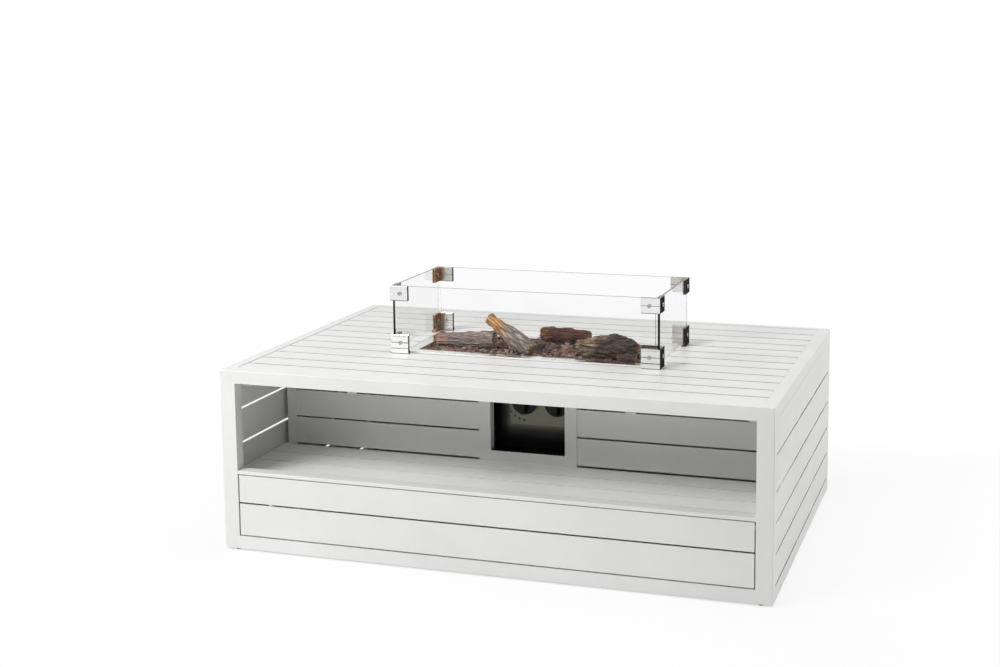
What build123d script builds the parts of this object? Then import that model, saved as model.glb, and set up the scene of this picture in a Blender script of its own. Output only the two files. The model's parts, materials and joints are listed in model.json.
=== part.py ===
from build123d import *
import math
import os

# A low fire table: a white aluminium frame with slats, a niche with a shelf, a gas burner sunk in the top
# and a glass wind guard around it.
# Millimetres; X along the table, Y from front to back, Z up from the floor.

# Table and frame
table_length = 1200
table_depth = 800
table_height = 400
foot_height = 5
foot_radius = 6
foot_inset = 25
foot_plug = 15
foot_fit = 0.2
post_width = 35
post_depth = 28
rail_height = 28
rail_depth = 25
front_beam_depth = 34
back_rail_depth = 22
frame_wall = 2
edge_round = 1.5

# Slats of the top
top_slat_count = 11
top_slat_height = 20
top_slat_wall = 1.6
top_slat_gap = 4
top_slat_left_gap = 2
top_slat_right_gap = 0.3
edge_slat_width = 43.6
edge_slat_seam = 0.4
bearer_size = 20
bearer_wall = 2

# Slats of the sides, the back and the front
plank = 3
slat_gap = 4.5
slat_end_gap = 0.5
rail_seam = 1
split_height = 225
left_split_height = 218
lower_slat_count = 3
upper_slat_count = 2
batten_width = 30
batten_depth = 10
batten_post_gap = 2
side_batten_setback = 30
side_batten_back_y = 140
back_batten_x = 180
front_slat_recess = 1.5
front_slat_end_gap = 2.5
front_gap_height = 107
front_gap = 3.5
front_lip_gap = 2
front_rail_gap = 2.5
front_batten_spread = 437
front_batten_top_gap = 12
front_batten_foot = 12
front_batten_notch = 5.5

# Shelf and niche
shelf_height = 164
shelf_slat_height = 12
shelf_slat_wall = 1.5
shelf_slat_count = 4
shelf_slat_gap = 3
shelf_end_gap = 1
lip_rise = 15
lip_face = 8
lip_depth = 28
lip_wall = 2.5
niche_post_width = 23
niche_post_depth = 40
niche_rail_depth = 25
niche_head_height = 15
niche_slat_height = 61
niche_slat_gap = 4
wall_ahead_of_flange = 1

# Control frame in the niche wall
control_frame_x = 4
control_frame_depth = 24
control_frame_proud = 2
control_frame_wall = 2.5
control_side_border = 27.5
control_border = 23
recess_lap = 4

# Burner
tray_length = 528
tray_width = 184
tray_depth = 71.5
tray_wall = 1.5
flange_width = 27
flange_round = 4
cutout_clearance = 6
burner_tube_radius = 8
burner_tube_wall = 1.2
burner_tube_length = 420
burner_tube_lift = 20
burner_leg_x = 140
port_count = 20
port_radius = 1.5
screen_lift = 36
screen_clearance = 1.5
lava_depth = 20.5
lava_clearance = 0.5
heap_rise = 11
heap_length = 250
heap_depth = 62

# Controls
control_setback = 50
control_x = 22
control_plate_width = 160
control_plate_drop = 97
control_plate_fold = 16
sheet = 1.5
housing_margin = 5
housing_reach = 100
housing_drop = 88
knob_drop = 108
knob_spacing = 76
knob_radius = 28
knob_skirt = 8
knob_grip = 16
knob_grip_width = 15
knob_grip_round = 3
knob_mark_width = 2
knob_mark_depth = 0.6
knob_gap = 6
knob_clearance = 3
stem_radius = 4
stem_clearance = 0.05
stem_seat = 0.3
stem_in_valve = 22
stem_hole_margin = 1
push_travel = 4
push_margin = 2
valve_width = 30
valve_height = 30
igniter_depth = 40
pipe_radius = 4
pipe_clearance = 0.1
pipe_bend = 14
pipe_lead = 8
pipe_socket_wall = 3
pipe_socket_depth = 7
inlet_radius = 5
inlet_length = 24
inlet_collar = 6
inlet_collar_radius = 8
electrode_radius = 3.5
electrode_length = 40
electrode_collar_radius = 5.5
electrode_tip_radius = 1.2
electrode_tip = 8
electrode_x = -90
electrode_y = 25

# Wind guard
guard_length = 622
guard_depth = 286
guard_height = 154
glass = 5
clamp_wall = 2.5
clamp_leg = 42
upper_clamp_height = 33.5
lower_clamp_height = 43
glass_lift = 9
glass_slack = 0.15
pane_end_slack = 0.3
lower_bolt_height = 25
clamp_groove = 0.8
clamp_groove_depth = 0.5
lower_groove_height = 12.5
bolt_from_corner = 23.5
bolt_radius = 3
bolt_clearance = 0.2
bolt_head_radius = 4.7
bolt_head = 1.8
bolt_socket_radius = 2.3
bolt_socket_depth = 1.2

# Ceramic logs, with sizes measured from the ends and walls of the tray
log_clearance = 0.3
left_log_inset = 7
left_log_length = 143
left_log_thin = 15
left_log_thick = 22
left_log_y = 8
leaning_log_radius = 13.5
leaning_log_bulge = 17
leaning_log_bulge_share = 0.6
leaning_log_sag = 3
leaning_log_run = 94
leaning_log_shift = 38
leaning_log_seat = 18
leaning_log_overhang = 17
back_log_radius = 18.5
back_log_length = 117
back_log_x = 38
back_log_back_gap = 11
right_log_inset = 26
right_log_length = 148
right_log_bulge = 60
right_log_thin = 18
right_log_thick = 28
right_log_y = -24
stub_log_radius = 11.5
stub_log_length = 42
stub_log_front_gap = 21
twig_radius = 4
twig_length = 58

# Places that follow from the sizes above
half_length = table_length / 2
half_depth = table_depth / 2
frame_top = table_height - rail_height
frame_bottom = foot_height + rail_height
post_x = half_length - post_width
post_y = half_depth - post_depth
rail_x = half_length - rail_depth
beam_y = -half_depth + front_beam_depth
back_y = half_depth - back_rail_depth
bearer_top = table_height - top_slat_height
bearer_bottom = bearer_top - bearer_size

tray_x = tray_length / 2
tray_y = tray_width / 2
flange_x = tray_x + flange_width
flange_y = tray_y + flange_width
flange_top = table_height + tray_wall
inner_bearer_x = flange_x + top_slat_gap + bearer_size / 2
tray_floor = flange_top - tray_depth + tray_wall
tray_under = tray_floor - tray_wall
screen_top = tray_floor + screen_lift + tray_wall
lava_top = screen_top + lava_depth
heap_top = lava_top + heap_rise

wall_y = -flange_y - wall_ahead_of_flange
niche_post_x = half_length - plank - batten_depth
niche_inner_x = niche_post_x - niche_post_width
niche_head_top = bearer_bottom
niche_head_bottom = niche_head_top - niche_head_height
shelf_under = shelf_height - shelf_slat_height
shelf_beam_under = shelf_under - bearer_size
lip_top = shelf_height + lip_rise
lip_bottom = lip_top - lip_face
front_slat_y = -half_depth + front_slat_recess
front_batten_y = front_slat_y + plank
front_batten_x = (-front_batten_spread, 0, front_batten_spread)

plate_y = wall_y + control_setback
plate_back_y = plate_y + sheet
knob_z = table_height - knob_drop
flame_x = control_x - knob_spacing / 2
ignition_x = control_x + knob_spacing / 2
knob_back_y = plate_y - knob_gap
knob_front_y = knob_back_y - knob_skirt - knob_grip
stem_front_y = knob_back_y - knob_skirt - knob_grip / 2
valve_back_y = -pipe_bend - pipe_lead
plate_x = (control_x - control_plate_width / 2, control_x + control_plate_width / 2)
plate_z = (tray_under - control_plate_drop, tray_under)
opening_half = ignition_x - control_frame_x + knob_radius + knob_clearance
opening_x = (control_frame_x - opening_half, control_frame_x + opening_half)
opening_z = (shelf_height + control_border, knob_z + knob_radius + knob_clearance)
control_frame_width = 2 * (opening_half + control_side_border)
control_frame_y = (wall_y - control_frame_proud, wall_y - control_frame_proud + control_frame_depth)
burner_tube_z = tray_floor + burner_tube_lift

guard_x = guard_length / 2
guard_y = guard_depth / 2
guard_top = table_height + guard_height
pane_x = guard_x - clamp_wall
pane_y = guard_y - clamp_wall
clamp_depth = clamp_wall + glass + clamp_wall
corner_block = clamp_depth + pane_end_slack


def block(x, y, z):
    """A box between pairs of lower and upper limits."""
    centre = Pos((x[0] + x[1]) / 2, (y[0] + y[1]) / 2, (z[0] + z[1]) / 2)
    return centre * Box(x[1] - x[0], y[1] - y[0], z[1] - z[0])


def inset(limits, wall):
    """A pair of limits drawn in by a wall at both ends."""
    return (limits[0] + wall, limits[1] - wall)


def tube(x, y, z, wall, along):
    """A rectangular tube, open at both ends along the named axis."""
    limits = {"x": x, "y": y, "z": z}
    hollow = [limits[axis] if axis == along else inset(limits[axis], wall) for axis in "xyz"]
    return block(x, y, z) - block(*hollow)


def span(centre, width):
    """Limits of a width about a centre."""
    return (centre - width / 2, centre + width / 2)


def mirrored(limits, side):
    """Limits on the left or the right side, for side -1 or 1."""
    return tuple(sorted((side * limits[0], side * limits[1])))


def rod(x, z, y, radius):
    """A round rod along Y between two limits."""
    return Pos(x, (y[0] + y[1]) / 2, z) * Rot(90, 0, 0) * Cylinder(radius, y[1] - y[0])


def upright(x, y, z, radius):
    """A round rod along Z between two limits."""
    return Pos(x, y, (z[0] + z[1]) / 2) * Cylinder(radius, z[1] - z[0])


def save(name, *solids):
    """Writes one node, as a single solid or as a group of separate ones."""
    shape = solids[0] if len(solids) == 1 else Compound(children=list(solids))
    export_step(shape, os.path.join("parts", name + ".step"))


def at_corner(edge, x, y):
    """Whether an edge stands at a corner of the table's outline."""
    centre = edge.center()
    return math.isclose(centre.X, x, abs_tol=0.01) and math.isclose(centre.Y, y, abs_tol=0.01)


def corner_post(side, end):
    """A square tube with its outer upright edge rounded; end is -1 at the front and 1 at the back."""
    x = mirrored((post_x, half_length), side)
    y = mirrored((post_y, half_depth), end)
    z = (foot_height, frame_top)
    body = block(x, y, z)
    edges = body.edges().filter_by(Axis.Z)
    outer = [edge for edge in edges if at_corner(edge, side * half_length, end * half_depth)]
    return fillet(outer, edge_round) - block(inset(x, frame_wall), inset(y, frame_wall), z)


def cross_beam(y, end):
    """A closed box beam across the table's whole length, rounded where it forms the table's outline."""
    x = (-half_length, half_length)
    z = (frame_top, table_height)
    body = block(x, y, z)
    sides = [e for e in body.edges().filter_by(Axis.Z) if math.isclose(e.center().Y, end * half_depth)]
    body = fillet(sides, edge_round)
    inner_y = y[0] if end > 0 else y[1]
    top_edges = body.faces().sort_by(Axis.Z)[-1].edges()
    body = fillet([e for e in top_edges if not math.isclose(e.center().Y, inner_y)], edge_round)
    return body - block(inset(x, frame_wall), inset(y, frame_wall), inset(z, frame_wall))


def side_rail(side, y, z, rounded):
    """A rail along one side, with its upper outer edge rounded on the top frame."""
    x = mirrored((rail_x, half_length), side)
    body = block(x, y, z)
    if rounded:
        edges = body.edges().filter_by(Axis.Y).sort_by(Axis.Z)[-2:]
        body = fillet(edges.sort_by(Axis.X)[-1 if side > 0 else 0], edge_round)
    return body - block(inset(x, frame_wall), y, inset(z, frame_wall))


def foot(side, end):
    """A glide with a plug that fits inside its post."""
    x = mirrored((post_x, half_length), side)
    y = mirrored((post_y, half_depth), end)
    fit = frame_wall + foot_fit
    plug = block(inset(x, fit), inset(y, fit), (foot_height, foot_height + foot_plug))
    glide = upright(side * (half_length - foot_inset), sum(y) / 2, (0, foot_height), foot_radius)
    return plug + glide


def frame():
    for side, side_name in ((-1, "left"), (1, "right")):
        for end, end_name in ((-1, "front"), (1, "back")):
            save("post_%s_%s" % (end_name, side_name), corner_post(side, end))
        save("top_%s_rail" % side_name, side_rail(side, (beam_y, back_y), (frame_top, table_height), True))
        bottom = side_rail(side, (-post_y, post_y), (foot_height, frame_bottom), False)
        save("bottom_%s_rail" % side_name, bottom)
    save("top_front_beam", cross_beam((-half_depth, beam_y), -1))
    save("top_back_rail", cross_beam((back_y, half_depth), 1))
    for end, end_name in ((-1, "front"), (1, "back")):
        y = mirrored((half_depth - rail_depth, half_depth), end)
        rail = tube((-post_x, post_x), y, (foot_height, frame_bottom), frame_wall, "x")
        save("bottom_%s_rail" % end_name, rail)
    save("feet", *[foot(side, end) for side in (-1, 1) for end in (-1, 1)])


def table_top():
    """Slats between the side rails, cut round the burner, on bearers that run from front to back."""
    edge_y = (beam_y + edge_slat_seam, beam_y + edge_slat_seam + edge_slat_width)
    slat_width = (back_y - edge_y[1] - (top_slat_count + 1) * top_slat_gap) / top_slat_count
    x = (-rail_x + top_slat_left_gap, rail_x - top_slat_right_gap)
    z = (bearer_top, table_height)
    cut_x = tray_x + tray_wall + cutout_clearance
    cut_y = tray_y + tray_wall + cutout_clearance
    cutout = block((-cut_x, cut_x), (-cut_y, cut_y), (bearer_bottom, table_height + top_slat_height))
    rows = {"top_slats_front": [], "top_slats_back": [], "top_slats_left": [], "top_slats_right": []}
    rows["top_slats_front"].append(tube(x, edge_y, z, top_slat_wall, "x"))
    for row in range(top_slat_count):
        low = edge_y[1] + top_slat_gap + row * (slat_width + top_slat_gap)
        y = (low, low + slat_width)
        slat = tube(x, y, z, top_slat_wall, "x")
        if y[1] <= -cut_y:
            rows["top_slats_front"].append(slat)
        elif y[0] >= cut_y:
            rows["top_slats_back"].append(slat)
        elif y[0] >= -cut_y and y[1] <= cut_y:
            pieces = (slat - cutout).solids().sort_by(Axis.X)
            rows["top_slats_left"].append(pieces[0])
            rows["top_slats_right"].append(pieces[-1])
        else:
            notched = "top_slats_front" if y[0] < -cut_y else "top_slats_back"
            rows[notched].append(slat - cutout)
    for name, slats in rows.items():
        save(name, *slats)
    bearer_x = (inner_bearer_x, post_x - bearer_size / 2)
    bearers = []
    for centre in bearer_x:
        for side in (-1, 1):
            limits = mirrored(span(centre, bearer_size), side)
            bearers.append(tube(limits, (beam_y, back_y), (bearer_bottom, bearer_top), bearer_wall, "y"))
    save("top_bearers", *bearers)


def slat_rows(split):
    """Limits in height of the slats of a side or of the back, in two groups below and above a gap."""
    rows = []
    groups = ((frame_bottom + slat_gap, split - slat_gap / 2, lower_slat_count),
              (split + slat_gap / 2, frame_top - rail_seam, upper_slat_count))
    for low, high, count in groups:
        height = (high - low - (count - 1) * slat_gap) / count
        for row in range(count):
            start = low + row * (height + slat_gap)
            rows.append((start, start + height))
    return rows


def side_panels():
    """Planks on the left, right and back faces."""
    for side, name, split in ((-1, "left", left_split_height), (1, "right", split_height)):
        x = mirrored((half_length - plank, half_length), side)
        y = (-post_y + slat_end_gap, post_y - slat_end_gap)
        save("%s_slats" % name, *[block(x, y, z) for z in slat_rows(split)])
    x = (-post_x + slat_end_gap, post_x - slat_end_gap)
    y = (half_depth - plank, half_depth)
    save("back_slats", *[block(x, y, z) for z in slat_rows(split_height)])


def front_panel():
    """Two planks under the shelf, and the bearers that carry the shelf."""
    x = (-post_x + front_slat_end_gap, post_x - front_slat_end_gap)
    y = (front_slat_y, front_batten_y)
    lower = (frame_bottom + front_rail_gap, front_gap_height - front_gap / 2)
    upper = (front_gap_height + front_gap / 2, lip_bottom - front_lip_gap)
    save("front_slats", block(x, y, lower), block(x, y, upper))
    y = (front_batten_y, wall_y)
    z = (shelf_beam_under, shelf_under)
    save("shelf_bearers", *[tube(span(x, bearer_size), y, z, bearer_wall, "y") for x in front_batten_x])


def battens():
    """Flat bars behind the planks of the sides and the back, and short ones behind the lower front plank."""
    bars = []
    z = (frame_bottom, frame_top)
    from_post = batten_post_gap + batten_width / 2
    beside_niche = wall_y + side_batten_setback + batten_width / 2
    for side in (-1, 1):
        x = mirrored((niche_post_x, half_length - plank), side)
        for y in (-post_y + from_post, beside_niche, side_batten_back_y, post_y - from_post):
            bars.append(block(x, span(y, batten_width), z))
    y = (half_depth - plank - batten_depth, half_depth - plank)
    for x in (-post_x + from_post, -back_batten_x, back_batten_x, post_x - from_post):
        bars.append(block(span(x, batten_width), y, z))
    y = (front_batten_y, front_batten_y + batten_depth)
    foot_y = (front_batten_y + front_batten_notch, y[1])
    foot_top = frame_bottom + front_batten_foot
    for x in front_batten_x:
        width = span(x, batten_width)
        bar = block(width, y, (foot_top, front_gap_height - front_batten_top_gap))
        bars.append(bar + block(width, foot_y, (frame_bottom, foot_top)))
    save("battens", *bars)


def shelf():
    """Hollow planks along the niche and a raised lip along its front edge."""
    front = front_batten_y + front_slat_recess
    back = wall_y - wall_ahead_of_flange
    width = (back - front - (shelf_slat_count - 1) * shelf_slat_gap) / shelf_slat_count
    slats = []
    for row in range(shelf_slat_count):
        low = front + row * (width + shelf_slat_gap)
        beside_post = low < -post_y + batten_post_gap + batten_width
        reach = (post_x if beside_post else half_length - plank) - shelf_end_gap
        z = (shelf_under, shelf_height)
        slats.append(tube((-reach, reach), (low, low + width), z, shelf_slat_wall, "x"))
    save("shelf_slats", *slats)
    x = (-post_x, post_x)
    lip = block(x, (-half_depth, -half_depth + lip_depth), (shelf_height, lip_top))
    hollow_y = (-half_depth + lip_wall, -half_depth + lip_depth - lip_wall)
    lip -= block(x, hollow_y, (shelf_height, lip_top - lip_wall))
    lip -= block(x, (-half_depth, hollow_y[0]), (shelf_height, lip_bottom))
    save("shelf_lip", lip)


def niche():
    """The niche's back wall: uprights, sill, head rail, and planks beside the control frame."""
    posts = []
    slats = []
    for side in (-1, 1):
        x = mirrored((niche_inner_x, niche_post_x), side)
        y = (wall_y, wall_y + niche_post_depth)
        posts.append(tube(x, y, (frame_bottom, bearer_bottom), frame_wall, "z"))
        x = tuple(sorted((control_frame_x + side * control_frame_width / 2, side * niche_inner_x)))
        low = shelf_height + niche_slat_gap
        while low < niche_head_bottom - niche_slat_gap:
            high = min(low + niche_slat_height, niche_head_bottom - niche_slat_gap)
            slats.append(block(x, (wall_y, wall_y + plank), (low, high)))
            low = high + niche_slat_gap
    save("niche_posts", *posts)
    save("niche_slats", *slats)
    x = (-niche_inner_x, niche_inner_x)
    y = (wall_y, wall_y + niche_rail_depth)
    save("niche_sill", tube(x, y, (shelf_beam_under, shelf_under), bearer_wall, "x"))
    save("niche_head", tube(x, y, (niche_head_bottom, niche_head_top), bearer_wall, "x"))


def control_frame():
    """A picture frame of folded sheet, hollow from behind, and a black box behind its opening."""
    x = span(control_frame_x, control_frame_width)
    y = control_frame_y
    z = (shelf_height, niche_head_bottom)
    wall = control_frame_wall
    behind = (y[0] + wall, y[1])
    pocket = block(inset(x, wall), behind, inset(z, wall))
    pocket -= block(inset(opening_x, -wall), behind, inset(opening_z, -wall))
    save("control_frame", block(x, y, z) - block(opening_x, y, opening_z) - pocket)

    back = (plate_y - sheet, plate_y)
    recess = block(inset(opening_x, -sheet), (y[1], plate_y), inset(opening_z, -sheet))
    recess -= block(opening_x, (y[1], back[0]), opening_z)
    window_x = (plate_x[0] + recess_lap, opening_x[1])
    window_z = (plate_z[0] + recess_lap, opening_z[1])
    save("control_recess", recess - block(window_x, back, window_z))


def burner():
    """A tray hung by its flange in the cut-out, with a burner tube, a screen and a bed of lava chips."""
    flange = block((-flange_x, flange_x), (-flange_y, flange_y), (table_height, flange_top))
    flange = fillet(flange.edges().filter_by(Axis.Z), flange_round)
    outer_x = tray_x + tray_wall
    outer_y = tray_y + tray_wall
    well = block((-outer_x, outer_x), (-outer_y, outer_y), (tray_under, table_height))
    inside = block((-tray_x, tray_x), (-tray_y, tray_y), (tray_floor, flange_top))
    pipe_hole = upright(flame_x, 0, (tray_under, tray_floor), pipe_radius + pipe_clearance)
    wire_hole_radius = electrode_radius + pipe_clearance
    wire_hole = upright(electrode_x, electrode_y, (tray_under, tray_floor), wire_hole_radius)
    save("burner_tray", flange + well - inside - pipe_hole - wire_hole)

    lying = Pos(0, 0, burner_tube_z) * Rot(0, 90, 0)
    pipe = lying * Cylinder(burner_tube_radius, burner_tube_length)
    for side in (-1, 1):
        leg_x = span(side * burner_leg_x, burner_tube_radius)
        pipe += block(leg_x, span(0, burner_tube_radius), (tray_floor, burner_tube_z))
    socket_radius = pipe_radius + pipe_socket_wall
    socket_z = (burner_tube_z - burner_tube_radius - pipe_socket_depth, burner_tube_z)
    pipe += upright(flame_x, 0, socket_z, socket_radius)
    bore = burner_tube_radius - burner_tube_wall
    pipe -= lying * Cylinder(bore, burner_tube_length - 2 * burner_tube_wall)
    pipe -= upright(flame_x, 0, (tray_floor, burner_tube_z), pipe_radius + pipe_clearance)
    for port in range(port_count):
        x = -burner_tube_length / 2 + burner_tube_length * (port + 0.5) / port_count
        pipe -= upright(x, 0, (burner_tube_z, burner_tube_z + 2 * burner_tube_radius), port_radius)
    save("burner_tube", pipe)

    reach_x = tray_x - screen_clearance
    reach_y = tray_y - screen_clearance
    z = (tray_floor, screen_top)
    screen = block((-reach_x, reach_x), (-reach_y, reach_y), z)
    screen -= block(inset((-reach_x, reach_x), tray_wall), (-reach_y, reach_y), (z[0], z[1] - tray_wall))
    save("lava_screen", screen)

    bed_x = tray_x - lava_clearance
    bed_y = tray_y - lava_clearance
    bed = block((-bed_x, bed_x), (-bed_y, bed_y), (screen_top, lava_top))
    heap_foot = Pos(0, bed_y - heap_depth / 2, lava_top) * Rectangle(heap_length, heap_depth)
    heap_crest = Pos(0, bed_y - heap_depth / 2, heap_top)
    heap_crest *= Rectangle(heap_length - 2 * heap_rise, heap_depth - 2 * heap_rise)
    save("lava_bed", bed + loft([heap_foot, heap_crest]))


def log(points, radii):
    """A log through round sections, each square to the line from the first point to the last."""
    ends = [Vector(point) for point in points]
    direction = ends[-1] - ends[0]
    sections = [Plane(origin=end, z_dir=direction) * Circle(radius) for end, radius in zip(ends, radii)]
    return loft(sections, ruled=True)


def logs():
    """Ceramic logs that lie on the lava bed and on each other."""
    left = -tray_x + left_log_inset
    left_end = left + left_log_length
    low = lava_top + log_clearance
    ends = [(left, left_log_y, low + left_log_thin), (left_end, left_log_y, low + left_log_thick)]
    save("log_left", log(ends, [left_log_thin, left_log_thick]))

    crest = lava_top + 2 * left_log_thick
    rest = Vector(left_end, left_log_y, crest + leaning_log_seat)
    drop = rest.Z - low - leaning_log_radius
    tilt = math.atan2(drop, math.hypot(leaning_log_run, leaning_log_shift))
    finish_z = low + leaning_log_radius * math.cos(tilt)
    finish = Vector(rest.X + leaning_log_run, rest.Y - leaning_log_shift, finish_z)
    start = rest + (rest - finish) * (leaning_log_overhang / leaning_log_run)
    bulge = start + (finish - start) * leaning_log_bulge_share - Vector(0, 0, leaning_log_sag)
    radii = (leaning_log_radius, leaning_log_bulge, leaning_log_radius)
    save("log_leaning", log([start, bulge, finish], radii))

    back_y_centre = tray_y - back_log_back_gap - back_log_radius
    x = span(back_log_x, back_log_length)
    z = heap_top + log_clearance + back_log_radius
    ends = [(x[0], back_y_centre, z), (x[1], back_y_centre, z)]
    save("log_back", log(ends, [back_log_radius, back_log_radius]))

    right = tray_x - right_log_inset
    stations = (right - right_log_length, right - right_log_bulge, right)
    radii = (right_log_thin, right_log_thick, right_log_thin)
    lift = low + right_log_thick
    save("log_right", log([(x, right_log_y, lift) for x in stations], radii))

    stub_y = -tray_y + stub_log_front_gap + stub_log_radius
    stub_z = low + stub_log_radius
    ends = [(right - stub_log_length, stub_y, stub_z), (right, stub_y, stub_z)]
    save("log_stub", log(ends, [stub_log_radius, stub_log_radius]))

    twig_y = right_log_y + right_log_thick + twig_radius + log_clearance
    twig_z = low + twig_radius
    ends = [(right - twig_length, twig_y, twig_z), (right, twig_y + twig_radius, twig_z)]
    save("log_twig", log(ends, [twig_radius, twig_radius]))


def knob(x):
    """A round skirt with a grip bar across it, a pointer mark and a blind bore for the stem."""
    skirt_y = (knob_back_y - knob_skirt, knob_back_y)
    body = rod(x, knob_z, skirt_y, knob_radius)
    body = fillet(body.edges().sort_by(Axis.Y)[0], knob_skirt / 2)
    grip_y = (knob_front_y, skirt_y[1] - knob_skirt / 2)
    bar = block(span(x, knob_grip_width), grip_y, span(knob_z, 2 * knob_radius))
    bar &= rod(x, knob_z, grip_y, knob_radius - knob_grip_round)
    bar = fillet(bar.faces().sort_by(Axis.Y)[0].edges(), knob_grip_round)
    body += bar
    mark_z = (knob_z + knob_radius / 3, knob_z + knob_radius)
    body -= block(span(x, knob_mark_width), (knob_front_y, knob_front_y + knob_mark_depth), mark_z)
    bore = (stem_front_y - stem_seat, knob_back_y)
    return body - rod(x, knob_z, bore, stem_radius + stem_clearance)


def stem(x):
    """A round spindle from the valve to the knob."""
    end_y = plate_back_y + stem_in_valve - push_travel - push_margin
    return rod(x, knob_z, (stem_front_y, end_y), stem_radius)


def spindle_body(x, y, width, height):
    """A valve or igniter body behind the control plate, bored for its stem."""
    body = block(span(x, width), y, span(knob_z, height))
    bore = (y[0], y[0] + stem_in_valve)
    return body - rod(x, knob_z, bore, stem_radius + stem_clearance)


def controls():
    plate = block(plate_x, (plate_y, plate_back_y), plate_z)
    plate += block(plate_x, (plate_y, plate_y + control_plate_fold), (tray_under - sheet, tray_under))
    for x in (flame_x, ignition_x):
        plate -= rod(x, knob_z, (plate_y, plate_back_y), stem_radius + stem_hole_margin)
    save("control_plate", plate)

    housing_x = inset(plate_x, housing_margin)
    housing_y = (plate_y + control_plate_fold, plate_back_y + housing_reach)
    housing_z = (tray_under - housing_drop, tray_under)
    skirt = block(housing_x, (plate_back_y, housing_y[1]), (housing_z[0], tray_under - sheet))
    housing = skirt + block(housing_x, housing_y, housing_z)
    room_x = inset(housing_x, sheet)
    room_z = (housing_z[0] + sheet, housing_z[1] - 2 * sheet)
    housing -= block(room_x, (plate_back_y, housing_y[1] - sheet), room_z)
    housing -= upright(flame_x, 0, (housing_z[1] - 3 * sheet, housing_z[1]), pipe_radius + pipe_clearance)
    inlet_y = (plate_back_y + valve_back_y) / 2
    floor_z = (housing_z[0], housing_z[0] + sheet)
    housing -= upright(flame_x, inlet_y, floor_z, inlet_radius + pipe_clearance)
    save("control_housing", housing)

    save("flame_knob", knob(flame_x))
    save("ignition_knob", knob(ignition_x))
    save("flame_stem", stem(flame_x))
    save("ignition_stem", stem(ignition_x))
    save("gas_valve", spindle_body(flame_x, (plate_back_y, valve_back_y), valve_width, valve_height))
    igniter_y = (plate_back_y, plate_back_y + igniter_depth)
    save("igniter", spindle_body(ignition_x, igniter_y, valve_width, valve_height))

    valve_bottom = knob_z - valve_height / 2
    inlet = upright(flame_x, inlet_y, (housing_z[0] - inlet_length, valve_bottom), inlet_radius)
    collar = (housing_z[0] - inlet_collar, housing_z[0])
    inlet += upright(flame_x, inlet_y, collar, inlet_collar_radius)
    save("gas_inlet", inlet)

    route = FilletPolyline((flame_x, valve_back_y, knob_z), (flame_x, 0, knob_z),
                           (flame_x, 0, burner_tube_z - burner_tube_radius), radius=pipe_bend)
    section = Plane(origin=(flame_x, valve_back_y, knob_z), z_dir=(0, 1, 0)) * Circle(pipe_radius)
    save("feed_pipe", sweep(section, path=route))

    rod_z = (tray_floor + burner_tube_lift - electrode_length / 2, tray_floor + burner_tube_lift)
    electrode = upright(electrode_x, electrode_y, rod_z, electrode_radius)
    tip_z = (rod_z[1], rod_z[1] + electrode_tip)
    electrode += upright(electrode_x, electrode_y, tip_z, electrode_tip_radius)
    collar = (tray_under - inlet_collar, tray_under)
    electrode += upright(electrode_x, electrode_y, collar, electrode_collar_radius)
    save("electrode", electrode)


def clamp(side, end, z, slot_low, bolt_z, groove_z):
    """A corner clamp: an L-shaped block, grooved outside, with a slot and a bolt hole for each pane."""
    x = mirrored((guard_x - clamp_leg, guard_x), side)
    y = mirrored((guard_y - clamp_leg, guard_y), end)
    inner_x = mirrored((guard_x - clamp_leg, guard_x - clamp_depth), side)
    inner_y = mirrored((guard_y - clamp_leg, guard_y - clamp_depth), end)
    body = block(x, y, z) - block(inner_x, inner_y, z)
    slot_z = (slot_low, z[1])
    slot_x = mirrored((pane_x - glass - glass_slack, pane_x + glass_slack), side)
    slot_y = mirrored((pane_y - glass - glass_slack, pane_y + glass_slack), end)
    stop_x = mirrored((guard_x - clamp_leg, guard_x - corner_block), side)
    stop_y = mirrored((guard_y - clamp_leg, guard_y - corner_block), end)
    body -= block(slot_x, stop_y, slot_z)
    body -= block(stop_x, slot_y, slot_z)
    groove = span(groove_z, clamp_groove)
    kept_x = mirrored((guard_x - clamp_leg, guard_x - clamp_groove_depth), side)
    kept_y = mirrored((guard_y - clamp_leg, guard_y - clamp_groove_depth), end)
    body -= block(x, y, groove) - block(kept_x, kept_y, groove)
    hole = bolt_radius + bolt_clearance
    body -= rod(side * (guard_x - bolt_from_corner), bolt_z, y, hole)
    across = Pos(side * guard_x, end * (guard_y - bolt_from_corner), bolt_z) * Rot(0, 90, 0)
    return body - across * Cylinder(hole, 2 * clamp_leg)


def bolt():
    """A bolt through a clamp leg and its pane, along Z, with the clamp's outer face at zero."""
    outer = Pos(0, 0, bolt_head / 2) * Cylinder(bolt_head_radius, bolt_head)
    socket = extrude(Pos(0, 0, bolt_head) * RegularPolygon(bolt_socket_radius, 6), -bolt_socket_depth)
    shank = Pos(0, 0, -clamp_depth / 2) * Cylinder(bolt_radius, clamp_depth)
    inner = Pos(0, 0, -clamp_depth - bolt_head / 2) * Cylinder(bolt_head_radius, bolt_head)
    return outer - socket + shank + inner


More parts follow.
